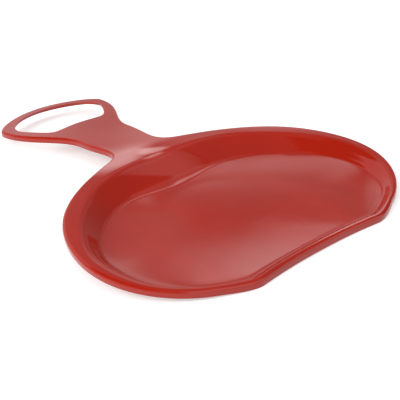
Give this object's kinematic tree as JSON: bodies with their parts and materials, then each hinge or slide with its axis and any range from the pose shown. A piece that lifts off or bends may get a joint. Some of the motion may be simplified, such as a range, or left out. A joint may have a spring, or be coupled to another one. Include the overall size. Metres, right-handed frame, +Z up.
{
  "type": "pan sled",
  "caption": "One-piece moulded plastic pan sled: shallow round seat dish with a straight rear edge, flat flange, downturned lip, narrow neck and open hand loop.",
  "frame": {"origin": "on the ground, in the flat gliding face under the seat dish, on the plane of symmetry", "axes": "+X to the right, +Y from the seat towards the hand loop, +Z up; X = 0 is the plane of symmetry"},
  "size_m": [0.428, 0.6, 0.0314],
  "materials": {
    "red_plastic": "semi-gloss, moulded through in one colour"
  },
  "bodies": {
    "root": {"sled_body": "red_plastic"}
  },
  "joints": []
}
